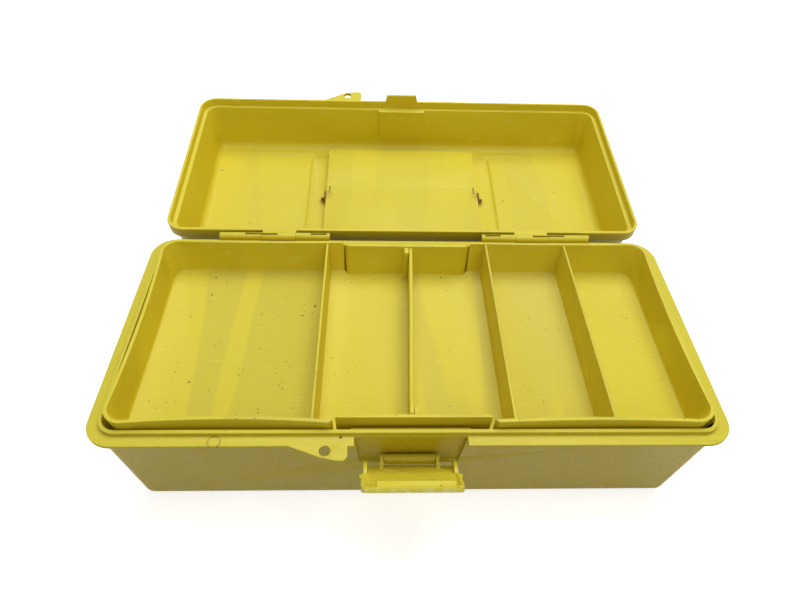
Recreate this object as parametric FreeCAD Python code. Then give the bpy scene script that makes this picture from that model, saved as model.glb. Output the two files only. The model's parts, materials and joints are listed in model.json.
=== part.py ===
import FreeCAD, Part
import math
import os

# Fishing tackle box with a lift-out tray, standing open. Millimetres.
# Frame: origin at the centre of the underside, +X right, +Y to the hinges, +Z up.

os.makedirs("parts", exist_ok=True)

# ---- overall sizes
flangeLength = 356.0      # tub, over the flange
flangeWidth = 164.6
tubHeight = 80.0          # underside to the flange's top
lidHeight = 47.3          # lid rim to the lid's outer top
wall = 2.2                # moulded wall of tub, lid and tray
draftAngle = 4.0          # slope of the tub's outer walls, degrees

# ---- tub rim
flangeThick = 2.2
flangeCorner = 16.0
ribInset = 6.3            # flange edge to the outer face of the raised rib
ribHeight = 2.8
ribCorner = 11.0
wallOutset = 1.2          # rib's outer face to the wall's outer face under the flange
tubCorner = 8.5
tubFloor = 2.5
tubBottomFillet = 7.0
rimFillet = 0.6

# ---- lid
skirtGap = 0.5            # rib to skirt
skirtHeight = 8.2
skirtCorner = 13.0
shelfWidth = 2.5          # skirt's outer face to the lid wall's outer face
shelfDepth = 6.0          # rim to the shelf inside the skirt
lidSeatGap = 0.2          # flange to rim when shut
lidTopFillet = 9.0
lidDraft = 5.5
lidOpenAngle = 174.0
bandHalf = 82.0           # raised pad on the lid's top
bandReach = 58.8
bandRise = 2.0
bandCorner = 3.0
grooveHalf = 62.8         # handle groove across the pad
grooveDepth = 8.3
grooveReach = 56.5        # groove's floor, from the lid's middle to its ends
grooveSlope = 5.0         # how far the groove's ends slope
pocketHalf = 17.8         # finger pocket in the lid's front wall
pocketHeight = 22.0
pocketTrayGap = 0.7       # tray's front wall to the pocket's inside when shut

# ---- hinges
hingeOut = 2.3            # flange edge to the pin's axis
hingeUp = 0.8             # flange top to the pin's axis
knuckleRadius = 3.0
hingePinRadius = 1.2
pinClearance = 0.05       # radial, for every pin in its bore
knuckleGap = 0.2          # between neighbouring knuckle ends
hingeInner = 55.0         # knuckle ends, from the middle of the box
hingeMidA = 79.4
hingeMidB = 103.6
hingeOuter = 133.0
knuckleSlotWidth = 1.7
knuckleSlotInset = 2.0    # slot's end to the knuckle's end
knuckleSlotLength = 11.5

# ---- latch
latchX = -1.6             # the latch sits a little left of the middle
latchHalf = 26.0
latchThick = 2.0
latchPivotInset = 5.7     # flange edge to the pivot
latchPivotDrop = 25.0     # flange top to the pivot
latchOffset = 3.6         # pivot to the plate's inner face
latchTop = 38.0           # pivot to the free end
latchFoot = 2.2           # pivot to the plate's lower edge
latchHeel = 0.5           # pivot to its edge between the cheeks
latchCorner = 2.6
latchFlare = 0.8          # how far the shallow rims stand out sideways
latchOpenAngle = 45.5
latchPinRadius = 1.25
latchSkirtGap = 0.3       # lid skirt to the latch's rims
hookHalf = 20.4
hookShift = 1.9
hookDepth = 3.0
hookThick = 2.6
earEnd = 17.0             # pivot to the end of the deep ears
earStart = 1.2            # ears' height at the plate's lower edge
earDepth = 5.2            # and at their deepest
nubRadius = 1.6
nubLength = 2.0
cheekHalf = 17.0          # pivot cheeks, outside to outside
cheekThick = 2.0
bracketRadius = 2.8
bracketSideGap = 0.3
bracketFall = 4.4         # pivot to the web's top at the recess wall
bracketRoot = 3.0         # web's height at the recess wall
recessTopHalf = 31.0
recessBottomHalf = 28.5
recessDepth = 3.3
recessDrop = 32.0         # flange top to the recess's lower end
recessLip = 0.35          # flange left in front of the rib
catchHalf = 14.0          # tongue under the lid's rim that drops in behind the latch
catchX = -0.3
catchTaper = 1.2
catchDrop = 6.2
catchThick = 2.0

# ---- padlock tabs
tabThick = 2.2
padlockX = -48.0
padlockTabLeft = 19.2     # hole's centre to the tab's ends
padlockTabRight = 12.0
padlockTabTip = 5.6       # hole's centre to the tab's tip
padlockTabRound = 3.0
padlockOut = 2.8          # flange edge to the hole's centre
padlockHoleRadius = 3.15

# ---- tray
trayRimAbove = 8.0        # flange top to the tray's rim
trayHeight = 28.0
trayGap = 1.0             # tray's side to the rib's inner face
trayEndGap = 1.4
trayFloor = 2.0
trayWall = 2.1
trayCorner = 11.0
trayDraft = 3.5
trayFloorRound = 1.6
stepHalf = 43.0           # middle stretch where front and back walls step inward
stepDepth = 3.3
dividerPitch = 55.4
dividerThick = 1.4
dividerFlare = 0.5        # how much thicker at its foot, each side
dividerDrop = 0.6         # tray rim to a divider's top
ledgeDepth = 9.0          # tub's end ledges that carry the tray
ledgeHalf = 45.0
trayRestGap = 0.2

# ---- loose divider
looseThick = 2.3
looseTurn = 1.6           # degrees, how crooked it stands
looseEndGap = 0.6         # tray wall to the divider's end
looseMiddleX = 0.65
looseDip = 2.6            # worn hollow in its top edge
dipInset = 9.0            # divider's front end to the hollow
dipLength = 38.0
dipSlope = 4.0
stubThick = 3.0
stubLength = 6.5
looseSideGap = 0.3

# ---- handle
handleReach = 40.0        # pivot to the grip's far edge
handleThick = 6.0
handleFloorGap = 0.4      # groove's floor to the folded handle
handleEndGap = 0.6        # handle's end to the groove's side
gripWidth = 13.0
armWidth = 9.0
handleCorner = 9.0
handleRound = 2.0
handlePinRadius = 1.5
handlePinInside = 8.0     # pin's length inside the handle's end
clipHalfWidth = 4.2
clipCeilingGap = 0.4      # lid's inner top to the clip
slotLength = 8.0          # slot in the groove's floor, beside each pin
slotWidth = 1.2
slotAhead = 2.0           # pin's axis to the slot
clipLength = 8.8
clipThick = 1.4
clipGap = 0.1
pinTail = 3.2             # pin's end, past the clip

# ---- places worked out from the sizes above
tangent = math.tan(math.radians(draftAngle))
flangeHalfX = flangeLength / 2
flangeHalfY = flangeWidth / 2
ribHalfX = flangeHalfX - ribInset
ribHalfY = flangeHalfY - ribInset
skirtHalfX = ribHalfX + skirtGap + wall
skirtHalfY = ribHalfY + skirtGap + wall
lidHalfX = skirtHalfX - shelfWidth
lidHalfY = skirtHalfY - shelfWidth
lidRimZ = tubHeight + lidSeatGap
lidTopZ = lidRimZ + lidHeight
bandTopZ = lidTopZ + bandRise
grooveFloorZ = bandTopZ - grooveDepth
hingeY = flangeHalfY + hingeOut
hingeZ = tubHeight + hingeUp
latchPivotY = -flangeHalfY + latchPivotInset
latchPivotZ = tubHeight - latchPivotDrop
recessY = -ribHalfY + recessDepth
recessBottomZ = tubHeight - recessDrop
lidTangent = math.tan(math.radians(lidDraft))
padlockY = -flangeHalfY - padlockOut
trayRimZ = tubHeight + trayRimAbove
trayBottomZ = trayRimZ - trayHeight
trayHalfX = ribHalfX - wall - trayEndGap
trayHalfY = ribHalfY - wall - trayGap
trayTangent = math.tan(math.radians(trayDraft))
handleAxisZ = grooveFloorZ + handleFloorGap + handleThick / 2
cavitySlope = (tubHeight * tangent - wallOutset) / (tubHeight - tubFloor)


def vector(x, y, z):
    return FreeCAD.Vector(x, y, z)


def box(x0, x1, y0, y1, z0, z1):
    return Part.makeBox(x1 - x0, y1 - y0, z1 - z0, vector(x0, y0, z0))


def rodX(x0, x1, y, z, radius):
    return Part.makeCylinder(radius, x1 - x0, vector(x0, y, z), vector(1, 0, 0))


def mirrorX(shape):
    return shape.mirror(vector(0, 0, 0), vector(1, 0, 0))


def roundedWire(halfX, halfY, corner, z):
    """Rectangle with round corners, at height z."""
    slant = corner * (1 - math.sqrt(0.5))
    edges = []
    quarters = [(1, -1), (1, 1), (-1, 1), (-1, -1)]
    starts = [(halfX, -halfY + corner), (halfX - corner, halfY),
              (-halfX, halfY - corner), (-halfX + corner, -halfY)]
    ends = [(halfX, halfY - corner), (-halfX + corner, halfY),
            (-halfX, -halfY + corner), (halfX - corner, -halfY)]
    for index in range(4):
        start = vector(*starts[index], z)
        end = vector(*ends[index], z)
        edges.append(Part.LineSegment(start, end).toShape())
        signX, signY = quarters[(index + 1) % 4]
        middle = vector(signX * (halfX - slant), signY * (halfY - slant), z)
        following = vector(*starts[(index + 1) % 4], z)
        edges.append(Part.Arc(end, middle, following).toShape())
    return Part.Wire(edges)


def prism(halfX, halfY, corner, z0, z1):
    return Part.Face(roundedWire(halfX, halfY, corner, z0)).extrude(vector(0, 0, z1 - z0))


def draftedBlock(halfX, halfY, corner, zWide, zNarrow, slope, endRound):
    """Block that is full size at zWide and smaller at zNarrow, where a fillet of endRound follows."""
    shrink = abs(zNarrow - zWide) * slope
    wide = roundedWire(halfX, halfY, corner, zWide)
    narrow = roundedWire(halfX - shrink, halfY - shrink, max(corner - shrink / 2, endRound + 0.6), zNarrow)
    return Part.makeLoft([wide, narrow], True, True)


def edgesAt(shape, z):
    """Edges that lie flat at height z."""
    flat = []
    for edge in shape.Edges:
        bounds = edge.BoundBox
        if abs(bounds.ZMin - z) < 1e-4 and abs(bounds.ZMax - z) < 1e-4:
            flat.append(edge)
    return flat


def roundAt(shape, z, radius):
    return shape.makeFillet(radius, edgesAt(shape, z))


def plate(points, z0, z1):
    outline = [vector(x, y, z0) for x, y in points]
    return Part.Face(Part.makePolygon(outline + outline[:1])).extrude(vector(0, 0, z1 - z0))


def profileX(points, x0, x1):
    """Extrudes a (y, z) outline along X."""
    outline = [vector(x0, y, z) for y, z in points]
    return Part.Face(Part.makePolygon(outline + outline[:1])).extrude(vector(x1 - x0, 0, 0))


def profileY(points, y0, y1):
    """Extrudes an (x, z) outline along Y."""
    outline = [vector(x, y0, z) for x, z in points]
    return Part.Face(Part.makePolygon(outline + outline[:1])).extrude(vector(0, y1 - y0, 0))


def padlockTab(edgeY, z0):
    """Ear for a padlock: one slanted side, one rounded end, and a round hole."""
    tipY = padlockY - padlockTabTip
    leftX = padlockX - padlockTabLeft
    rightX = padlockX + padlockTabRight
    root = edgeY + wall
    ear = plate([(leftX, root), (leftX, edgeY), (padlockX - padlockHoleRadius, tipY + wall),
                 (padlockX + padlockHoleRadius * 2, tipY), (rightX, tipY), (rightX, root)],
                z0, z0 + tabThick)
    upright = [edge for edge in ear.Edges
               if edge.BoundBox.ZLength > tabThick / 2 and edge.BoundBox.YMax < edgeY - 1.0
               and abs(edge.BoundBox.XMax - rightX) < 1e-4]
    ear = ear.makeFillet(padlockTabRound, upright)
    hole = Part.makeCylinder(padlockHoleRadius, tabThick * 3, vector(padlockX, padlockY, z0 - tabThick))
    return ear, hole


def knuckle(x0, x1, armY, armZ0, armZ1):
    """One hinge knuckle with the arm that joins it to its rim."""
    barrel = rodX(x0, x1, hingeY, hingeZ, knuckleRadius)
    arm = box(x0, x1, armY, hingeY, armZ0, armZ1)
    return barrel.fuse(arm)


def pinSlot(x0, x1, upward):
    """Slot that opens a knuckle as far as its pin, from above or from below."""
    z0 = hingeZ if upward else hingeZ - knuckleRadius * 2
    z1 = hingeZ + knuckleRadius * 2 if upward else hingeZ
    return box(x0, x1, hingeY - knuckleSlotWidth / 2, hingeY + knuckleSlotWidth / 2, z0, z1)


def makeTub():
    outer = ribHalfX + wallOutset, ribHalfY + wallOutset, tubCorner
    body = draftedBlock(*outer, tubHeight, 0.0, tangent, tubBottomFillet)
    body = roundAt(body, 0.0, tubBottomFillet)
    flange = prism(flangeHalfX, flangeHalfY, flangeCorner, tubHeight - flangeThick, tubHeight)
    flange = flange.makeFillet(rimFillet, edgesAt(flange, tubHeight)
                               + edgesAt(flange, tubHeight - flangeThick))
    rib = prism(ribHalfX, ribHalfY, ribCorner, tubHeight - flangeThick, tubHeight + ribHeight)
    rib = roundAt(rib, tubHeight + ribHeight, rimFillet)

    # the wall steps inward behind the latch, so the inside carries the same step
    recessFace = recessY + wall
    bulge = box(latchX - recessTopHalf - wall, latchX + recessTopHalf + wall, -flangeHalfY, recessFace,
                tubFloor / 2, tubHeight - flangeThick / 2)
    inside = ribHalfX - wall, ribHalfY - wall, ribCorner - wall
    cavity = draftedBlock(*inside, tubHeight, tubFloor, cavitySlope, tubBottomFillet - wall)
    cavity = roundAt(cavity, tubFloor, tubBottomFillet - wall)
    mouth = prism(*inside, tubHeight - 0.01, tubHeight + ribHeight * 2)
    bulge = bulge.common(body)
    tub = body.fuse(flange).fuse(rib).cut(cavity.cut(bulge)).cut(mouth)

    shelfZ = tubHeight - flangeThick
    recess = profileY([(-recessTopHalf, shelfZ), (-recessBottomHalf, recessBottomZ),
                       (recessBottomHalf, recessBottomZ), (recessTopHalf, shelfZ)],
                      -flangeHalfY * 2, recessY)
    flangeCut = box(-recessTopHalf, recessTopHalf, -flangeHalfY * 2, -ribHalfY - recessLip,
                    recessBottomZ, tubHeight + ribHeight * 2)
    bracketHalf = cheekHalf - cheekThick - bracketSideGap
    barrel = rodX(-bracketHalf, bracketHalf, latchPivotY, latchPivotZ, bracketRadius)
    rootY = recessY + wall / 2
    webTop = latchPivotZ - bracketFall
    web = profileX([(latchPivotY, latchPivotZ + bracketRadius / 2), (rootY, webTop),
                    (rootY, webTop - bracketRoot), (latchPivotY - bracketRadius / 3,
                                                    latchPivotZ - bracketRadius * 0.85)],
                   -bracketHalf, bracketHalf)
    bore = rodX(-bracketHalf * 2, bracketHalf * 2, latchPivotY, latchPivotZ, latchPinRadius + pinClearance)
    for solid in (recess, flangeCut, barrel, web, bore):
        solid.translate(vector(latchX, 0, 0))
    tub = tub.cut(recess).cut(flangeCut).fuse(barrel).fuse(web).cut(bore)

    ear, hole = padlockTab(-flangeHalfY, tubHeight - tabThick)
    tub = tub.fuse(ear).cut(hole)

    # sloping ledges at both ends, which carry the tray
    ledgeTop = trayBottomZ - trayRestGap
    wallX = ribHalfX - wall / 2 - (tubHeight - ledgeTop) * cavitySlope
    ledge = profileY([(wallX, ledgeTop), (wallX - ledgeDepth, ledgeTop),
                      (wallX - ledgeDepth, ledgeTop - wall), (wallX - wall, ledgeTop - ledgeDepth * 1.4),
                      (wallX - wall / 2, ledgeTop - ledgeDepth * 1.4)], -ledgeHalf, ledgeHalf)
    tub = tub.fuse(ledge).fuse(mirrorX(ledge))

    # hinge knuckles, and notches in the flange for the lid's knuckles
    pinBore = hingePinRadius + pinClearance
    armY = flangeHalfY - wall
    for side in (1, -1):
        outerKnuckle = knuckle(hingeMidB + knuckleGap / 2, hingeOuter, armY,
                               tubHeight - flangeThick, tubHeight)
        innerKnuckle = knuckle(hingeInner, hingeMidA - knuckleGap / 2, armY,
                               tubHeight - flangeThick, tubHeight)
        notch = box(hingeMidA - knuckleGap / 2, hingeMidB + knuckleGap / 2,
                    hingeY - knuckleRadius - lidSeatGap * 2, flangeHalfY * 2,
                    tubHeight - flangeThick * 3, tubHeight + flangeThick)
        bore = rodX(hingeInner - 1, hingeOuter + 1, hingeY, hingeZ, pinBore)
        innerSlot = pinSlot(hingeInner + knuckleSlotInset,
                            hingeInner + knuckleSlotInset + knuckleSlotLength, True)
        outerSlot = pinSlot(hingeMidB, hingeMidB + knuckleSlotLength, True)
        solids = [outerKnuckle.fuse(innerKnuckle), notch, bore, innerSlot, outerSlot]
        if side < 0:
            solids = [mirrorX(solid) for solid in solids]
        tub = tub.cut(solids[1]).fuse(solids[0])
        for cutter in solids[2:]:
            tub = tub.cut(cutter)
    return tub.removeSplitter()


def grooveBlock(halfX, reach, floorZ):
    """Block with sloping ends that fills the handle groove down to floorZ."""
    top = floorZ + grooveDepth + grooveSlope
    flare = grooveSlope * (top - floorZ) / grooveDepth
    return profileX([(-reach, floorZ), (reach, floorZ), (reach + flare, top), (-reach - flare, top)],
                    -halfX, halfX)


def makeLidShut():
    skirt = prism(skirtHalfX, skirtHalfY, skirtCorner, lidRimZ, lidRimZ + skirtHeight)
    skirt = skirt.makeFillet(rimFillet, edgesAt(skirt, lidRimZ) + edgesAt(skirt, lidRimZ + skirtHeight))

    def lidBlock(halfX, halfY, corner, top, fillet):
        return roundAt(draftedBlock(halfX, halfY, corner, lidRimZ + 1.0, top, lidTangent, 0.0), top, fillet)

    def padBlock(inset, base):
        """Raised pad with sloping sides, inset by the wall for the lid's inside."""
        foot = bandHalf + bandRise - inset, bandReach + bandRise - inset, bandCorner
        top = bandHalf - inset, bandReach - inset, bandCorner
        return Part.makeLoft([roundedWire(*foot, base - bandRise), roundedWire(*foot, base),
                              roundedWire(*top, base + bandRise)], True, True)

    outside = lidHalfX, lidHalfY, ribCorner
    inside = lidHalfX - wall, lidHalfY - wall, ribCorner - wall
    ceiling = lidTopZ - wall
    outer = skirt.fuse(lidBlock(*outside, lidTopZ, lidTopFillet)).fuse(padBlock(0, lidTopZ))
    cavity = lidBlock(*inside, ceiling, lidTopFillet - wall).fuse(padBlock(wall, ceiling))
    platformHalf = grooveHalf + wall
    platform = grooveBlock(platformHalf, grooveReach + wall, grooveFloorZ - wall)
    pocketFace = -trayHalfY + stepDepth - pocketTrayGap
    pocketInside = box(-pocketHalf - wall, pocketHalf + wall, -flangeWidth, pocketFace,
                       lidRimZ + shelfDepth, lidRimZ + skirtHeight + pocketHeight + wall)
    cavity = cavity.cut(platform).cut(pocketInside)
    rimHollow = prism(skirtHalfX - wall, skirtHalfY - wall, skirtCorner - wall, lidRimZ - 1.0,
                      lidRimZ + shelfDepth)
    lid = outer.cut(cavity).cut(rimHollow)

    groove = grooveBlock(grooveHalf, grooveReach, grooveFloorZ)
    pocket = box(-pocketHalf, pocketHalf, -flangeWidth, pocketFace - wall,
                 lidRimZ + skirtHeight, lidRimZ + skirtHeight + pocketHeight)
    lid = lid.cut(groove).cut(pocket)

    # tongue under the rim, padlock ear, and the stub of the moulding gate
    rootZ = lidRimZ + shelfDepth / 2
    tipHalf, tipZ = catchHalf - catchTaper, lidRimZ - catchDrop
    catch = profileY([(-catchHalf, rootZ), (-catchHalf, lidRimZ), (-tipHalf, tipZ),
                      (tipHalf, tipZ), (catchHalf, lidRimZ), (catchHalf, rootZ)],
                     -skirtHalfY, -skirtHalfY + catchThick)
    catch.translate(vector(catchX, 0, 0))
    ear, hole = padlockTab(-skirtHalfY, lidRimZ)
    gate = Part.makeCylinder(1.3, 2.4, vector(37.0, -skirtHalfY + 1.0, lidRimZ + wall), vector(0, -1, 0))
    lid = lid.fuse(catch).fuse(ear).fuse(gate).cut(hole)

    # holes for the handle's pins, and the narrow slots beside them
    pinHole = rodX(-platformHalf - 1, platformHalf + 1, 0, handleAxisZ, handlePinRadius + pinClearance)
    lid = lid.cut(pinHole)
    for side in (1, -1):
        slotX = side * (grooveHalf - slotWidth / 2)
        lid = lid.cut(box(slotX - slotWidth / 2, slotX + slotWidth / 2, -slotAhead - slotLength, -slotAhead,
                          grooveFloorZ - wall * 2, grooveFloorZ + slotWidth))

    pinBore = hingePinRadius + pinClearance
    for side in (1, -1):
        x0, x1 = hingeMidA + knuckleGap / 2, hingeMidB - knuckleGap / 2
        hinge = knuckle(x0, x1, skirtHalfY - wall / 2, lidRimZ, hingeZ + knuckleRadius)
        bore = rodX(x0 - 1, x1 + 1, hingeY, hingeZ, pinBore)
        slot = pinSlot(x1 - knuckleSlotLength, x1, False)
        solids = [hinge, bore, slot]
        if side < 0:
            solids = [mirrorX(solid) for solid in solids]
        lid = lid.fuse(solids[0]).cut(solids[1]).cut(solids[2])
    return lid.removeSplitter()


def trayWire(z, inset, bow):
    """Tray outline at height z. bow is the share of the walls' warp that it carries."""
    shrink = inset + (trayRimZ - z) * trayTangent
    halfX = trayHalfX - shrink
    halfY = trayHalfY - shrink
    stepY = halfY - stepDepth
    corner = max(trayCorner - inset, 3.0)
    slant = corner * (1 - math.sqrt(0.5))
    stepEdge = stepHalf - inset
    stepRoot = stepEdge + stepDepth
    edges = []

    def arc(a, b, c):
        edges.append(Part.Arc(vector(*a, z), vector(*b, z), vector(*c, z)).toShape())

    def line(a, b):
        edges.append(Part.LineSegment(vector(*a, z), vector(*b, z)).toShape())

    def side(a, b, away):
        """Wall from a to b, bowed inward at its middle where away isn't zero."""
        if bow > 0:
            middle = ((a[0] + b[0]) / 2 + away[0] * bow, (a[1] + b[1]) / 2 + away[1] * bow)
            arc(a, middle, b)
        else:
            line(a, b)

    side((halfX, -halfY + corner), (halfX, halfY - corner), (-2.0, 0))
    arc((halfX, halfY - corner), (halfX - slant, halfY - slant), (halfX - corner, halfY))
    side((halfX - corner, halfY), (stepRoot, halfY), (0, -0.6))
    line((stepRoot, halfY), (stepEdge, stepY))
    line((stepEdge, stepY), (-stepEdge, stepY))
    line((-stepEdge, stepY), (-stepRoot, halfY))
    side((-stepRoot, halfY), (-halfX + corner, halfY), (0, -0.8))
    arc((-halfX + corner, halfY), (-halfX + slant, halfY - slant), (-halfX, halfY - corner))
    side((-halfX, halfY - corner), (-halfX, -halfY + corner), (2.4, 0))
    arc((-halfX, -halfY + corner), (-halfX + slant, -halfY + slant), (-halfX + corner, -halfY))
    side((-halfX + corner, -halfY), (-stepRoot, -halfY), (0, 2.4))
    line((-stepRoot, -halfY), (-stepEdge, -stepY))
    line((-stepEdge, -stepY), (stepEdge, -stepY))
    line((stepEdge, -stepY), (stepRoot, -halfY))
    side((stepRoot, -halfY), (halfX - corner, -halfY), (0, 1.4))
    arc((halfX - corner, -halfY), (halfX - slant, -halfY + slant), (halfX, -halfY + corner))
    return Part.Wire(edges)


def makeTray():
    low = 0.05
    outer = Part.makeLoft([trayWire(trayBottomZ, 0, low), trayWire(trayRimZ, 0, 1)], True, True)
    floorZ = trayBottomZ + trayFloor
    above = trayRimZ + 1.0
    roundTop = floorZ + trayFloorRound
    share = (roundTop - trayBottomZ) / trayHeight
    hollow = Part.makeLoft([
        trayWire(floorZ, trayWall + trayFloorRound, low),
        trayWire(floorZ + trayFloorRound * 0.3, trayWall + trayFloorRound * 0.3, low + share * 0.3),
        trayWire(roundTop, trayWall, share),
        trayWire(above, trayWall, 1 + 1 / trayHeight)], True, True)
    tray = outer.cut(hollow)
    dividerTop = trayRimZ - dividerDrop
    for place in (-dividerPitch, dividerPitch, 2 * dividerPitch):
        half = dividerThick / 2
        foot = half + dividerFlare
        divider = profileY([(place - half, dividerTop), (place - foot, floorZ - trayFloor / 2),
                            (place + foot, floorZ - trayFloor / 2), (place + half, dividerTop)],
                           -trayHalfY, trayHalfY)
        tray = tray.fuse(divider.common(outer))
    # stubs that the loose divider stands between
    stubY = trayHalfY - stepDepth - trayWall / 2
    stubTop = trayRimZ - dividerDrop * 2
    for sign in (1, -1):
        turn = math.tan(math.radians(looseTurn))
        middle = looseMiddleX + sign * (stubY - stubLength / 2) * turn
        side = middle - sign * (looseThick / 2 + looseSideGap)
        x0, x1 = sorted((side, side - sign * stubThick))
        y0, y1 = sorted((sign * (stubY - stubLength), sign * stubY))
        tray = tray.fuse(box(x0, x1, y0, y1, floorZ - trayFloor / 2, stubTop).common(outer))
    return tray.removeSplitter()


def makeLooseDivider():
    floorZ = trayBottomZ + trayFloor + trayRestGap
    top = trayRimZ - dividerDrop
    rimHalf = trayHalfY - stepDepth - trayWall - looseEndGap

    def halfAt(z):
        return rimHalf - (trayRimZ - z) * trayTangent

    bevelZ = floorZ + trayFloorRound
    dipStartY = -halfAt(top) + dipInset
    outline = [(-halfAt(floorZ) + trayFloorRound, floorZ), (halfAt(floorZ) - trayFloorRound, floorZ),
               (halfAt(bevelZ), bevelZ), (halfAt(top), top),
               (dipStartY + dipLength, top), (dipStartY + dipLength - dipSlope, top - looseDip),
               (dipStartY + dipSlope, top - looseDip), (dipStartY, top),
               (-halfAt(top), top), (-halfAt(bevelZ), bevelZ)]
    solid = profileX(outline, -looseThick / 2, looseThick / 2)
    solid.rotate(vector(0, 0, 0), vector(0, 0, 1), -looseTurn)
    solid.translate(vector(looseMiddleX, 0, 0))
    return solid


def lineAt(a, b):
    """Straight edge in the plane x = 0, from one (y, z) to another."""
    return Part.LineSegment(vector(0, *a), vector(0, *b)).toShape()


def makeLatchShut():
    """Latch standing upright, its hook over the lid's skirt."""
    inner = latchPivotY - latchOffset
    outer = inner - latchThick
    root = inner - latchThick / 2             # where what stands on the plate starts
    foot = latchPivotZ + latchFoot
    top = latchPivotZ + latchTop
    rimY = -skirtHalfY - latchSkirtGap        # how far in the shallow rims reach
    middleZ = latchPivotZ + earEnd

    def cornersOf(block):
        return [edge for edge in block.Edges if edge.BoundBox.YLength > latchThick / 2
                and edge.BoundBox.ZMin > middleZ]

    sheet = box(-latchHalf, latchHalf, outer, inner, foot, top)
    sheet = sheet.makeFillet(latchCorner, cornersOf(sheet))
    heelZ = latchPivotZ + latchHeel
    sheet = sheet.fuse(box(-cheekHalf, cheekHalf, outer, inner, heelZ, foot + latchThick)).removeSplitter()
    heel = [edge for edge in edgesAt(sheet, heelZ) if edge.BoundBox.YMax < root
            and edge.BoundBox.XLength > cheekHalf]
    latch = sheet.makeFillet(latchThick * 0.4, heel)

    # deep ears at both sides, cut to an arc, which drop into the recess
    deepest = inner + earDepth, (foot + middleZ) / 2
    start = inner + earStart, foot
    end = rimY, middleZ
    arc = Part.Arc(vector(0, *start), vector(0, *deepest), vector(0, *end)).toShape()
    outline = Part.Wire([lineAt((root, foot), start), arc, lineAt(end, (root, middleZ)),
                         lineAt((root, middleZ), (root, foot))])
    for x in (-latchHalf, latchHalf - latchThick):
        ear = Part.Face(outline).extrude(vector(latchThick, 0, 0))
        ear.translate(vector(x, 0, 0))
        latch = latch.fuse(ear)

    # shallow rims along the rest of both sides and round the free end's corners
    rimHalf = latchHalf + latchFlare
    rimBlock = box(-rimHalf, rimHalf, outer, rimY, middleZ, top)
    rimBlock = rimBlock.makeFillet(latchCorner, cornersOf(rimBlock))
    rimHollow = box(-rimHalf + latchThick, rimHalf - latchThick, inner, rimY + 1.0,
                    middleZ - 1.0, top - latchThick)
    endTrim = box(-latchHalf + latchCorner, latchHalf - latchCorner, (inner + rimY) / 2, rimY + 1.0,
                  top - latchThick * 2, top + 1.0)
    latch = latch.fuse(rimBlock.cut(rimHollow).cut(endTrim))

    hookZ = lidRimZ + skirtHeight + lidSeatGap
    hookY = inner + hookDepth
    hook = profileX([(root, hookZ), (hookY, hookZ), (hookY, hookZ + hookThick / 2),
                     (root, hookZ + hookThick)], hookShift - hookHalf, hookShift + hookHalf)
    latch = latch.fuse(hook)

    # cheeks beside the bracket, with the pin's holes
    boss = bracketRadius * 0.86
    cheek = profileX([(root, foot + latchThick / 4), (latchPivotY - boss / 2, latchPivotZ - boss),
                      (latchPivotY + boss / 2, latchPivotZ + boss), (root, foot + bracketRadius * 2)],
                     -cheekHalf, -cheekHalf + cheekThick)
    cheek = cheek.fuse(rodX(-cheekHalf, -cheekHalf + cheekThick, latchPivotY, latchPivotZ, bracketRadius))
    latch = latch.fuse(cheek).fuse(mirrorX(cheek)).removeSplitter()
    for sign in (1, -1):
        nub = Part.makeCone(nubRadius, nubRadius * 0.6, nubLength,
                            vector(sign * latchHalf, inner, middleZ + nubRadius * 1.5), vector(sign, 0, 0))
        latch = latch.fuse(nub)
    latch = latch.cut(rodX(-latchHalf, latchHalf, latchPivotY, latchPivotZ, latchPinRadius + pinClearance))
    latch.translate(vector(latchX, 0, 0))
    return latch


def makeHandleFlat():
    """Handle lying in the groove towards the front, its pivots at the middle of the lid."""
    halfX = grooveHalf - handleEndGap
    z0 = handleAxisZ - handleThick / 2
    z1 = handleAxisZ + handleThick / 2

    def uprights(block):
        return [edge for edge in block.Edges
                if edge.BoundBox.ZLength > handleThick / 2 and edge.BoundBox.YMax < 0]

    def outlineAt(block, z):
        return [edge for edge in edgesAt(block, z) if edge.BoundBox.YMin < -1e-3]

    outer = box(-halfX, halfX, -handleReach, 0, z0, z1)
    outer = outer.makeFillet(handleCorner, uprights(outer))
    gapHalf = halfX - armWidth
    gapY = -handleReach + gripWidth
    gap = box(-gapHalf, gapHalf, gapY, handleThick, z0 - 1, z1 + 1)
    gap = gap.makeFillet(handleCorner - 3.0, uprights(gap))
    frame = outer.cut(gap)
    rim = [edge for edge in edgesAt(frame, z0) + edgesAt(frame, z1) if edge.BoundBox.YMax < -1e-3
           or edge.BoundBox.YLength > handleThick]
    frame = frame.makeFillet(handleRound, rim)
    barrel = rodX(-halfX, halfX, 0, handleAxisZ, handleThick / 2).cut(gap)
    bore = rodX(-halfX - 1, -halfX + handlePinInside + 0.3, 0, handleAxisZ, handlePinRadius + pinClearance)
    return frame.fuse(barrel).cut(bore).cut(mirrorX(bore))


def write(node, shape):
    shape.exportStep("parts/" + node + ".step")
    print(node, len(shape.Solids), round(shape.Volume / 1000, 2), "cm3", shape.isValid())


def opened(shape):
    """Turns a piece of the shut lid to where the open lid holds it."""
    shape.rotate(vector(0, hingeY, hingeZ), vector(1, 0, 0), -lidOpenAngle)
    return shape


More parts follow.
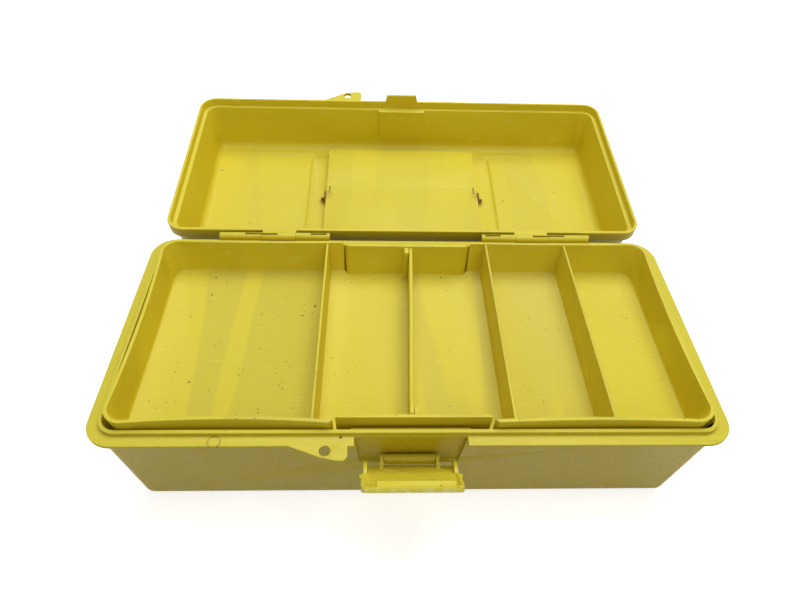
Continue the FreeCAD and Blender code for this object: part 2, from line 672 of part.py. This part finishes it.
def main():
    write("base_tub", makeTub())
    write("lid_shell", opened(makeLidShut()))
    write("lift_out_tray", makeTray())
    write("tray_divider", makeLooseDivider())

    latch = makeLatchShut()
    latch.rotate(vector(0, latchPivotY, latchPivotZ), vector(1, 0, 0), latchOpenAngle)
    write("front_latch", latch)
    write("latch_pivot_pin", rodX(latchX - cheekHalf, latchX + cheekHalf, latchPivotY, latchPivotZ,
                                  latchPinRadius))

    hingePin = rodX(hingeInner + 0.5, hingeOuter - 0.5, hingeY, hingeZ, hingePinRadius)
    write("hinge_pin_right", hingePin)
    write("hinge_pin_left", mirrorX(hingePin))

    handle = makeHandleFlat()
    # folded flat, then turned about its pivots until it hangs straight down under the open lid
    handle.rotate(vector(0, 0, handleAxisZ), vector(1, 0, 0), -90.0 - (180.0 - lidOpenAngle))
    write("carry_handle", opened(handle))

    clipX = grooveHalf + wall + clipGap
    pin = rodX(grooveHalf - handleEndGap - handlePinInside, clipX + clipThick + pinTail, 0,
               handleAxisZ, handlePinRadius)
    clipTop = bandTopZ - wall - clipCeilingGap
    clip = box(clipX, clipX + clipThick, -clipHalfWidth, clipHalfWidth, clipTop - clipLength, clipTop)
    corners = [edge for edge in clip.Edges if edge.BoundBox.XLength > clipThick / 2]
    clip = clip.makeFillet(clipHalfWidth / 2, corners).cut(
        rodX(clipX - 1, clipX + clipThick + 1, 0, handleAxisZ, handlePinRadius))
    write("handle_pivot_pin_right", opened(pin.copy()))
    write("handle_pivot_pin_left", opened(mirrorX(pin)))
    write("handle_clip_right", opened(clip.copy()))
    write("handle_clip_left", opened(mirrorX(clip)))


main()
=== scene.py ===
import json
import math

import bpy
from mathutils import Matrix, Vector

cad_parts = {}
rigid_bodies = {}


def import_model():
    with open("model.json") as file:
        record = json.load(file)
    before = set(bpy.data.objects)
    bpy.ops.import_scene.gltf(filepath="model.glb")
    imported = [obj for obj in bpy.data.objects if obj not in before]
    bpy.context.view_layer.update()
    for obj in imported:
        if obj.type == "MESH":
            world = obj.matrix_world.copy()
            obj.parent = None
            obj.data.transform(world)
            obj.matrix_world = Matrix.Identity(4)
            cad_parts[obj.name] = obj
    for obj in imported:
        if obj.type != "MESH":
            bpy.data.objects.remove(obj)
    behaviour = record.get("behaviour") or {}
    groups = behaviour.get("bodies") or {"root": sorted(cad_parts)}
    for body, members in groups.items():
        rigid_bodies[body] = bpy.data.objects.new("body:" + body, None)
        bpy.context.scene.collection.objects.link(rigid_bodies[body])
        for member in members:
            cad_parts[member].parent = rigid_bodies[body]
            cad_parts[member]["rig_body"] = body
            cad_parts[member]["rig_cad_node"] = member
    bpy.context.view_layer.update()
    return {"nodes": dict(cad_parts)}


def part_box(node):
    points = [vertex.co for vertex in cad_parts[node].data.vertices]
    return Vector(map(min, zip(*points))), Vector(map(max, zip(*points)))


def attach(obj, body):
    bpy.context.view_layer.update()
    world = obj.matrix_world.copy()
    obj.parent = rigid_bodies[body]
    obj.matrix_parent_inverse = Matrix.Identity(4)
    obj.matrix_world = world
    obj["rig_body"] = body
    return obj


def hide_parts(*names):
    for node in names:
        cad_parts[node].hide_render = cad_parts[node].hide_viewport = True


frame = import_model()
print("frame loaded:", len(frame["nodes"]), "CAD nodes")

mm = 0.001


# hex colour as seen on screen, turned to the linear values that shaders use
def hexColour(text):
    channels = [int(text[i:i + 2], 16) / 255 for i in (1, 3, 5)]
    return [c / 12.92 if c <= 0.04045 else ((c + 0.055) / 1.055) ** 2.4 for c in channels] + [1.0]


# adds one node: settings are its properties or unlinked inputs, links are input -> (node, output)
def addNode(tree, kind, settings=None, links=None):
    node = tree.nodes.new("ShaderNode" + kind)
    for key, value in (settings or {}).items():
        if isinstance(key, str) and hasattr(node, key):
            setattr(node, key, value)
        else:
            node.inputs[key].default_value = value
    for key, (source, output) in (links or {}).items():
        tree.links.new(source.outputs[output], node.inputs[key])
    return node


def newMaterial(name):
    material = bpy.data.materials.new(name)
    material.use_nodes = True
    material.node_tree.nodes.clear()
    return material, material.node_tree


def deselectAll():
    if bpy.context.object and bpy.context.object.mode != "OBJECT":
        bpy.ops.object.mode_set(mode="OBJECT")
    bpy.ops.object.select_all(action="DESELECT")


def selectOnly(piece):
    deselectAll()
    piece.select_set(True)
    bpy.context.view_layer.objects.active = piece


# ---- materials

# injection-moulded polypropylene: waxy half-gloss, smooth inside, with a spark-eroded stipple outside
plastic = {
    "tub": {"light": "#D0BC20", "deep": "#BEA60C", "roughness": 0.46, "stipple": 1.0, "specks": 0.12,
            "bandShade": 0.0, "lines": 0.0},
    "lid": {"light": "#DCC824", "deep": "#CEB40C", "roughness": 0.42, "stipple": 0.5, "specks": 0.2,
            "bandShade": 0.1, "lines": 0.0},
    "tray": {"light": "#DAC628", "deep": "#CCB40E", "roughness": 0.44, "stipple": 0.0, "specks": 1.0,
             "bandShade": 0.26, "lines": 0.0},
    "latch": {"light": "#E6D436", "deep": "#D2BA1C", "roughness": 0.28, "stipple": 0.0, "specks": 0.2,
              "bandShade": 0.0, "lines": 0.8},
    "ior": 1.49,
    "specular": 0.3,               # aged skin reflects less than new plastic
    "middle": (0, 0, 40 * mm),     # a face that looks away from here counts as outside
    "blotch": 70 * mm,             # slow changes of tone over a hand's width
    "bandShadeWidth": 34 * mm,          # broad painted shade bands standing in for uneven reflection, from front to back
    "scuffLength": 14 * mm,
    "scuffTurn": 0.5,
    "skinWaves": 3.8 * mm,
    "stippleGrain": 1.1 * mm,      # drawn coarser than the real 0.4 mm so that it shows
    "lineSpacing": 1.3 * mm,       # fine moulding lines along the latch
    "grit": 2.4 * mm,
    "dustPatch": 48 * mm,
    # painted sheen: a pale tint on faces that look up stands in for the sky's reflection on them
    "upSheenShare": 0.5,
    "upSheen": "#DAD24A",
    "dull": "#B3A24A",
    "scuff": "#EDE07C",
    "dirt": "#4A3B14",
    # painted shade for the stipple's pits
    "stipplePitShade": "#76621A",
}

# dirt in two grades; size is a share of the spacing, share is how many of the cells hold a speck
dirtGrades = {
    "specks": {"spacing": 8 * mm, "size": 0.085, "share": 0.16, "strength": 1.0},
    "dust": {"spacing": 2.6 * mm, "size": 0.15, "share": 0.12, "strength": 0.8},
}


# tone of the bare plastic: blotched, with a painted sheen where it looks up, painted shade bands, scuffed
def wornTone(tree, look, place, upward, scuffNoise):
    blotch = addNode(tree, "TexNoise", {"Scale": 1 / plastic["blotch"], "Detail": 3.0, "Roughness": 0.55},
                     {"Vector": (place, "Object")})
    moulded = addNode(tree, "Mix", {"data_type": "RGBA", 6: hexColour(look["light"]),
                                    7: hexColour(look["deep"])}, {0: (blotch, "Fac")})
    # painted sheen: faces that look up are tinted paler, standing in for reflected sky light
    upSheenAmount = addNode(tree, "Math", {"operation": "MULTIPLY", 1: plastic["upSheenShare"]},
                       {0: (upward, "Result")})
    pale = addNode(tree, "Mix", {"data_type": "RGBA", 7: hexColour(plastic["upSheen"])},
                   {0: (upSheenAmount, "Value"), 6: (moulded, 2)})

    # painted shade: darker bands on upward faces stand in for uneven reflection
    alongY = addNode(tree, "Mapping", {"Scale": (1.0, 0.12, 0.3)}, {"Vector": (place, "Object")})
    band = addNode(tree, "TexNoise", {"Scale": 1 / plastic["bandShadeWidth"], "Detail": 1.0, "Roughness": 0.4},
                   {"Vector": (alongY, "Vector")})
    dull = addNode(tree, "MapRange", {"From Min": 0.5, "From Max": 0.54, "To Min": 0.0, "To Max": look["bandShade"]},
                   {"Value": (band, "Fac")})
    dullUp = addNode(tree, "Math", {"operation": "MULTIPLY"}, {0: (dull, "Result"), 1: (upward, "Result")})
    banded = addNode(tree, "Mix", {"data_type": "RGBA", 7: hexColour(plastic["dull"])},
                     {0: (dullUp, "Value"), 6: (pale, 2)})

    scuff = addNode(tree, "MapRange", {"From Min": 0.56, "From Max": 0.78, "To Min": 0.0, "To Max": 0.4},
                    {"Value": (scuffNoise, "Fac")})
    return addNode(tree, "Mix", {"data_type": "RGBA", 7: hexColour(plastic["scuff"])},
                   {0: (scuff, "Result"), 6: (banded, 2)})


# ragged dark dots over the tone under them, gathered in patches and mostly on faces that look up
def dirtied(tree, under, look, place, upward, grit):
    patches = addNode(tree, "TexNoise", {"Scale": 1 / plastic["dustPatch"], "Detail": 2.0, "Roughness": 0.6},
                      {"Vector": (place, "Object")})
    wobble = addNode(tree, "Math", {"operation": "MULTIPLY_ADD", 1: 0.12, 2: -0.06}, {0: (grit, "Fac")})
    for grade in dirtGrades.values():
        size = grade["size"]
        cell = addNode(tree, "TexVoronoi", {"Scale": 1 / grade["spacing"], "Randomness": 1.0},
                       {"Vector": (place, "Object")})
        ragged = addNode(tree, "Math", {"operation": "ADD"}, {0: (cell, "Distance"), 1: (wobble, "Value")})
        dot = addNode(tree, "MapRange", {"From Min": size * 1.5, "From Max": size * 0.7, "To Min": 0.0,
                                         "To Max": grade["strength"]}, {"Value": (ragged, "Value")})
        cellTone = addNode(tree, "SeparateColor", None, {"Color": (cell, "Color")})
        crowd = addNode(tree, "MapRange", {"From Min": 0.42, "From Max": 0.68, "To Min": 0.0,
                                           "To Max": 2 * grade["share"] * look["specks"]},
                        {"Value": (patches, "Fac")})
        chosen = addNode(tree, "Math", {"operation": "LESS_THAN"}, {0: (cellTone, "Red"), 1: (crowd, "Result")})
        picked = addNode(tree, "Math", {"operation": "MULTIPLY"}, {0: (dot, "Result"), 1: (chosen, "Value")})
        speck = addNode(tree, "Math", {"operation": "MULTIPLY"}, {0: (picked, "Value"), 1: (upward, "Result")})
        under = addNode(tree, "Mix", {"data_type": "RGBA", 7: hexColour(plastic["dirt"])},
                        {0: (speck, "Value"), 6: (under, 2)})
    return under


# height of the stipple, which lies only where a face looks away from the middle of the box
def outerStipple(tree, place, shape):
    away = addNode(tree, "VectorMath", {"operation": "SUBTRACT", 1: plastic["middle"]}, {0: (place, "Object")})
    level = addNode(tree, "VectorMath", {"operation": "MULTIPLY", 1: (0.5, 1, 0)}, {0: (away, "Vector")})
    outward = addNode(tree, "VectorMath", {"operation": "DOT_PRODUCT"},
                      {0: (shape, "Normal"), 1: (level, "Vector")})
    outside = addNode(tree, "MapRange", {"From Min": 0.03, "From Max": 0.05, "To Min": 0.0, "To Max": 1.0},
                      {"Value": (outward, "Value")})
    grain = addNode(tree, "TexNoise", {"Scale": 1 / plastic["stippleGrain"], "Detail": 2.0, "Roughness": 0.6},
                    {"Vector": (place, "Object")})
    return addNode(tree, "Math", {"operation": "MULTIPLY"}, {0: (grain, "Fac"), 1: (outside, "Result")})


# relief: a faintly wavy skin, then moulding lines, then the stipple
def mouldedBump(tree, look, place, stipple):
    skin = addNode(tree, "TexNoise", {"Scale": 1 / plastic["skinWaves"], "Detail": 3.0, "Roughness": 0.5},
                   {"Vector": (place, "Object")})
    skinBump = addNode(tree, "Bump", {"Strength": 0.25, "Distance": 0.05 * mm}, {"Height": (skin, "Fac")})
    alongX = addNode(tree, "Mapping", {"Scale": (0.02, 1.0, 1.0)}, {"Vector": (place, "Object")})
    lines = addNode(tree, "TexNoise", {"Scale": 1 / plastic["lineSpacing"], "Detail": 2.0, "Roughness": 0.6},
                    {"Vector": (alongX, "Vector")})
    lineBump = addNode(tree, "Bump", {"Strength": look["lines"], "Distance": 0.25 * mm},
                       {"Height": (lines, "Fac"), "Normal": (skinBump, "Normal")})
    return addNode(tree, "Bump", {"Strength": look["stipple"], "Distance": 0.5 * mm},
                   {"Height": (stipple, "Value"), "Normal": (lineBump, "Normal")})


def mouldedPlastic(name, look, addMarks=None):
    material, tree = newMaterial(name)
    place = addNode(tree, "TexCoord")
    shape = addNode(tree, "NewGeometry")
    facing = addNode(tree, "SeparateXYZ", None, {"Vector": (shape, "Normal")})
    upward = addNode(tree, "MapRange", {"From Min": 0.2, "From Max": 0.9, "To Min": 0.12, "To Max": 1.0},
                     {"Value": (facing, "Z")})
    stretched = addNode(tree, "Mapping", {"Rotation": (0.0, 0.0, plastic["scuffTurn"]),
                                          "Scale": (1.0, 7.0, 3.0)}, {"Vector": (place, "Object")})
    scuffNoise = addNode(tree, "TexNoise", {"Scale": 1 / plastic["scuffLength"], "Detail": 6.0,
                                            "Roughness": 0.7}, {"Vector": (stretched, "Vector")})
    grit = addNode(tree, "TexNoise", {"Scale": 1 / plastic["grit"], "Detail": 2.0, "Roughness": 0.5},
                   {"Vector": (place, "Object")})

    under = wornTone(tree, look, place, upward, scuffNoise)
    under = dirtied(tree, under, look, place, upward, grit)
    if addMarks:
        under = addMarks(tree, place, grit, under)
    stipple = outerStipple(tree, place, shape)
    # painted shade: the stipple's pits are darkened in colour, as the bump alone barely shows under soft light
    if look["stipple"]:
        stipplePitShade = addNode(tree, "MapRange", {"From Min": 0.5, "From Max": 0.7, "To Min": 0.0,
                                         "To Max": 0.35 * look["stipple"]}, {"Value": (stipple, "Value")})
        under = addNode(tree, "Mix", {"data_type": "RGBA", 7: hexColour(plastic["stipplePitShade"])},
                        {0: (stipplePitShade, "Result"), 6: (under, 2)})
    bump = mouldedBump(tree, look, place, stipple)
    rough = addNode(tree, "MapRange", {"From Min": 0.3, "From Max": 0.7, "To Min": look["roughness"] - 0.07,
                                       "To Max": look["roughness"] + 0.1}, {"Value": (scuffNoise, "Fac")})
    shader = addNode(tree, "BsdfPrincipled",
                     {"IOR": plastic["ior"], "Specular IOR Level": plastic["specular"]},
                     {"Base Color": (under, 2), "Roughness": (rough, "Result"), "Normal": (bump, "Normal")})
    addNode(tree, "OutputMaterial", None, {"Surface": (shader, "BSDF")})
    return material


# marks on single pieces: the ejector pin's ring on the flange, wear on the latch, rust round the handle's pins
marks = {
    "ringCentre": (-107.3 * mm, -79.7 * mm, 80 * mm),
    "ringRadius": 3.6 * mm,
    "ringLine": 0.5 * mm,
    "ringTone": "#7A661C",
    "wearReach": 2.2 * mm,
    "wearTone": "#E9DE96",
    "rustReach": 6.5 * mm,
    "rustTone": "#7A5A1E",
}


# 1 inside the radius round a point, fading to 0 over the given width
def nearPoint(tree, place, centre, radius, fade):
    gap = addNode(tree, "VectorMath", {"operation": "DISTANCE", 1: centre}, {0: (place, "Object")})
    return addNode(tree, "MapRange", {"From Min": radius + fade, "From Max": radius, "To Min": 0.0,
                                      "To Max": 1.0}, {"Value": (gap, "Value")})


# thin dark circle that the ejector pin left on the flange, left of the latch
def ejectorRing(tree, place, grit, under):
    line = marks["ringLine"]
    outer = nearPoint(tree, place, marks["ringCentre"], marks["ringRadius"], line)
    inner = nearPoint(tree, place, marks["ringCentre"], marks["ringRadius"] - 2 * line, line)
    circle = addNode(tree, "Math", {"operation": "SUBTRACT"}, {0: (outer, "Result"), 1: (inner, "Result")})
    faint = addNode(tree, "Math", {"operation": "MULTIPLY"}, {0: (circle, "Value"), 1: (grit, "Fac")})
    return addNode(tree, "Mix", {"data_type": "RGBA", 7: hexColour(marks["ringTone"])},
                   {0: (faint, "Value"), 6: (under, 2)})


# pale wear along the latch's free edge, where a finger pulls it
def edgeWear(tree, place, grit, under):
    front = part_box("front_latch")[0][1]
    along = addNode(tree, "SeparateXYZ", None, {"Vector": (place, "Object")})
    edge = addNode(tree, "MapRange", {"From Min": front + marks["wearReach"],
                                      "From Max": front + 0.3 * marks["wearReach"],
                                      "To Min": 0.0, "To Max": 1.0}, {"Value": (along, "Y")})
    patchy = addNode(tree, "MapRange", {"From Min": 0.45, "From Max": 0.6, "To Min": 0.0, "To Max": 0.6},
                     {"Value": (grit, "Fac")})
    worn = addNode(tree, "Math", {"operation": "MULTIPLY"}, {0: (edge, "Result"), 1: (patchy, "Result")})
    return addNode(tree, "Mix", {"data_type": "RGBA", 7: hexColour(marks["wearTone"])},
                   {0: (worn, "Value"), 6: (under, 2)})


# brown bleed on the lid round both pins of the handle
def rustBleed(tree, place, grit, under):
    for clip in ("handle_clip_left", "handle_clip_right"):
        low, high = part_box(clip)
        centre = tuple((a + b) / 2 for a, b in zip(low, high))
        spot = nearPoint(tree, place, centre, marks["rustReach"] * 0.3, marks["rustReach"])
        blurred = addNode(tree, "Math", {"operation": "MULTIPLY"}, {0: (spot, "Result"), 1: (grit, "Fac")})
        under = addNode(tree, "Mix", {"data_type": "RGBA", 7: hexColour(marks["rustTone"])},
                        {0: (blurred, "Value"), 6: (under, 2)})
    return under


# drawn steel wire, gone dull: fine streaks along the pin
pinLook = {"colour": "#8E8C84", "dull": "#6B675E", "roughness": 0.42, "streak": 0.5 * mm}


def drawnSteel():
    material, tree = newMaterial("drawnSteel")
    place = addNode(tree, "TexCoord")
    along = addNode(tree, "Mapping", {"Scale": (0.05, 1.0, 1.0)}, {"Vector": (place, "Object")})
    streaks = addNode(tree, "TexNoise", {"Scale": 1 / pinLook["streak"], "Detail": 3.0},
                      {"Vector": (along, "Vector")})
    tone = addNode(tree, "Mix", {"data_type": "RGBA", 6: hexColour(pinLook["colour"]),
                                 7: hexColour(pinLook["dull"])}, {0: (streaks, "Fac")})
    bump = addNode(tree, "Bump", {"Strength": 0.3, "Distance": 0.03 * mm}, {"Height": (streaks, "Fac")})
    shader = addNode(tree, "BsdfPrincipled", {"Metallic": 1.0, "Roughness": pinLook["roughness"]},
                     {"Base Color": (tone, 2), "Normal": (bump, "Normal")})
    addNode(tree, "OutputMaterial", None, {"Surface": (shader, "BSDF")})
    return material


# rusted spring steel: brown scale, orange in the pits, no shine left
rustLook = {"brown": "#8A5C1E", "orange": "#B47C28", "dark": "#54380F", "scale": 1.2 * mm}


def rustedSteel():
    material, tree = newMaterial("rustedSteel")
    place = addNode(tree, "TexCoord")
    scale = addNode(tree, "TexNoise", {"Scale": 1 / rustLook["scale"], "Detail": 6.0, "Roughness": 0.7},
                    {"Vector": (place, "Object")})
    ramp = addNode(tree, "ValToRGB", None, {"Fac": (scale, "Fac")})
    stops = ramp.color_ramp.elements
    stops[0].position = 0.35
    stops[0].color = hexColour(rustLook["dark"])
    stops[1].position = 0.68
    stops[1].color = hexColour(rustLook["orange"])
    stops.new(0.5).color = hexColour(rustLook["brown"])
    bump = addNode(tree, "Bump", {"Strength": 0.7, "Distance": 0.15 * mm}, {"Height": (scale, "Fac")})
    shader = addNode(tree, "BsdfPrincipled", {"Metallic": 0.15, "Roughness": 0.85},
                     {"Base Color": (ramp, "Color"), "Normal": (bump, "Normal")})
    addNode(tree, "OutputMaterial", None, {"Surface": (shader, "BSDF")})
    return material


tubPlastic = mouldedPlastic("mouldedPlasticTub", plastic["tub"], ejectorRing)
lidPlastic = mouldedPlastic("mouldedPlasticLid", plastic["lid"], rustBleed)
trayPlastic = mouldedPlastic("mouldedPlasticTray", plastic["tray"])
latchPlastic = mouldedPlastic("mouldedPlasticLatch", plastic["latch"], edgeWear)
handlePlastic = mouldedPlastic("mouldedPlasticHandle", plastic["latch"])
pinSteel = drawnSteel()
rustSteel = rustedSteel()
print("materials made")

# ---- moulded shells: each CAD shell with its sharp edges softened as a mould leaves them
shells = {
    "base_tub": {"piece": "tubShell", "body": "tub", "slot": "yellow_tub", "material": tubPlastic,
                 "edge": 0.35 * mm},
    "lid_shell": {"piece": "lidShell", "body": "lid", "slot": "yellow_lid", "material": lidPlastic,
                  "edge": 0.35 * mm},
    "lift_out_tray": {"piece": "trayShell", "body": "tray", "slot": "yellow_tray", "material": trayPlastic,
                      "edge": 0.45 * mm},
    "tray_divider": {"piece": "looseDivider", "body": "divider", "slot": "yellow_tray", "material": trayPlastic,
                     "edge": 0.5 * mm},
    "front_latch": {"piece": "latchShell", "body": "latch", "slot": "yellow_latch", "material": latchPlastic,
                    "edge": 0.3 * mm},
    "carry_handle": {"piece": "handleShell", "body": "handle", "slot": "yellow_latch",
                     "material": handlePlastic, "edge": 0.3 * mm},
}
moulding = {"weld": 0.001 * mm, "flatAngle": 0.6, "edgeAngle": 38, "smoothAngle": 32, "edgeSteps": 2}


def softenedShell(node, look):
    selectOnly(frame["nodes"][node])
    bpy.ops.object.duplicate()
    piece = bpy.context.object
    piece.name = look["piece"]
    piece.parent = None
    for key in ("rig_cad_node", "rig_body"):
        if key in piece:
            del piece[key]
    bpy.ops.object.mode_set(mode="EDIT")
    bpy.ops.mesh.select_all(action="SELECT")
    bpy.ops.mesh.remove_doubles(threshold=moulding["weld"])
    bpy.ops.mesh.dissolve_limited(angle_limit=math.radians(moulding["flatAngle"]))
    bpy.ops.object.mode_set(mode="OBJECT")
    bevel = piece.modifiers.new("softEdge", "BEVEL")
    bevel.width = look["edge"]
    bevel.segments = moulding["edgeSteps"]
    bevel.limit_method = "ANGLE"
    bevel.angle_limit = math.radians(moulding["edgeAngle"])
    bevel.use_clamp_overlap = True
    bpy.ops.object.modifier_apply(modifier=bevel.name)
    bpy.ops.object.shade_smooth_by_angle(angle=math.radians(moulding["smoothAngle"]))
    piece.data.materials.clear()
    piece.data.materials.append(look["material"])
    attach(piece, look["body"])
    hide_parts(node)
    return piece


for node, look in shells.items():
    shell = softenedShell(node, look)
    print(look["piece"], len(shell.data.polygons), "faces")

# ---- metal: the CAD pieces stay as they are, and only their material slots are set
metals = {
    "hinge_pin_left": pinSteel,
    "hinge_pin_right": pinSteel,
    "latch_pivot_pin": pinSteel,
    "handle_pivot_pin_left": rustSteel,
    "handle_pivot_pin_right": rustSteel,
    "handle_clip_left": rustSteel,
    "handle_clip_right": rustSteel,
}

for node, material in metals.items():
    for materialSlot in frame["nodes"][node].material_slots:
        materialSlot.link = "OBJECT"
        materialSlot.material = material
print("metal finished")

# ---- floor
floorLook = {"size": 8.0, "below": 0.4 * mm, "seen": "#FFFFFF", "bounce": "#8C8C8A", "glow": 0.62}


def makeFloor():
    deselectAll()
    bpy.ops.mesh.primitive_plane_add(size=floorLook["size"], location=(0, 0, -floorLook["below"]))
    floor = bpy.context.object
    floor.name = "paleFloor"
    material, tree = newMaterial("palePaper")
    path = addNode(tree, "LightPath")
    seenOrGloss = addNode(tree, "Math", {"operation": "MAXIMUM"},
                          {0: (path, "Is Camera Ray"), 1: (path, "Is Glossy Ray")})
    seen = addNode(tree, "Math", {"operation": "MAXIMUM"},
                   {0: (seenOrGloss, "Value"), 1: (path, "Is Transmission Ray")})
    colour = addNode(tree, "Mix", {"data_type": "RGBA", 6: hexColour(floorLook["bounce"]),
                                   7: hexColour(floorLook["seen"])}, {0: (seen, "Value")})
    paper = addNode(tree, "BsdfDiffuse", None, {"Color": (colour, 2)})
    strength = addNode(tree, "Math", {"operation": "MULTIPLY", 1: floorLook["glow"]}, {0: (seen, "Value")})
    glow = addNode(tree, "Emission", {"Color": (1, 1, 1, 1)}, {"Strength": (strength, "Value")})
    both = addNode(tree, "AddShader", None, {0: (paper, "BSDF"), 1: (glow, "Emission")})
    addNode(tree, "OutputMaterial", None, {"Surface": (both, "Shader")})
    floor.data.materials.append(material)


makeFloor()

# ---- light: a big soft lamp above and behind, a weak one in front
lamps = {
    "keyLamp": {"place": (0.15, 0.4, 1.35), "aim": (0.01, 0.05, 0.05), "size": 1.0, "power": 14.5},
    "frontLamp": {"place": (0.3, -1.6, 1.3), "aim": (0, 0, 0.05), "size": 1.6, "power": 9},
}
room = {"air": 0.27}


def aimAt(obj, aim):
    direction = Vector(aim) - obj.location
    obj.rotation_euler = direction.to_track_quat("-Z", "Y").to_euler()


for name, lamp in lamps.items():
    deselectAll()
    bpy.ops.object.light_add(type="AREA", location=lamp["place"])
    light = bpy.context.object
    light.name = name
    light.data.energy = lamp["power"]
    light.data.size = lamp["size"]
    aimAt(light, lamp["aim"])


# white where it is seen straight or mirrored, dimmer as a light
def makeWorld():
    world = bpy.data.worlds.new("paleRoom")
    bpy.context.scene.world = world
    world.use_nodes = True
    tree = world.node_tree
    tree.nodes.clear()
    path = addNode(tree, "LightPath")
    cameraOrGloss = addNode(tree, "Math", {"operation": "MAXIMUM"},
                            {0: (path, "Is Camera Ray"), 1: (path, "Is Glossy Ray")})
    seen = addNode(tree, "Math", {"operation": "MAXIMUM"},
                   {0: (cameraOrGloss, "Value"), 1: (path, "Is Transmission Ray")})
    strength = addNode(tree, "MapRange", {"From Min": 0.0, "From Max": 1.0, "To Min": room["air"],
                                          "To Max": 1.0}, {"Value": (seen, "Value")})
    sky = addNode(tree, "Background", {"Color": (1, 1, 1, 1)}, {"Strength": (strength, "Result")})
    addNode(tree, "OutputWorld", None, {"Surface": (sky, "Background")})


makeWorld()
print("floor and lamps placed")

# ---- camera
eye = {"place": (-0.0200, -0.2426, 0.3696), "turn": 3.08, "down": 47.31, "roll": 2.56,
       "lens": 27.0, "sensor": 36.0, "clip": 0.01}


def makeCamera():
    deselectAll()
    bpy.ops.object.camera_add(location=eye["place"])
    camera = bpy.context.object
    turn, down, roll = (math.radians(eye[key]) for key in ("turn", "down", "roll"))
    forward = Vector((math.sin(turn) * math.cos(down), math.cos(turn) * math.cos(down), -math.sin(down)))
    right = Vector((math.cos(turn), -math.sin(turn), 0))
    up = right.cross(forward)
    rolledRight = right * math.cos(roll) + up * math.sin(roll)
    rolledUp = up * math.cos(roll) - right * math.sin(roll)
    columns = Matrix((rolledRight, rolledUp, -forward)).transposed()
    camera.rotation_euler = columns.to_euler()
    camera.data.lens = eye["lens"]
    camera.data.sensor_width = eye["sensor"]
    camera.data.clip_start = eye["clip"]
    bpy.context.scene.camera = camera


makeCamera()
bpy.context.scene.view_settings.view_transform = "Standard"
bpy.context.view_layer.update()
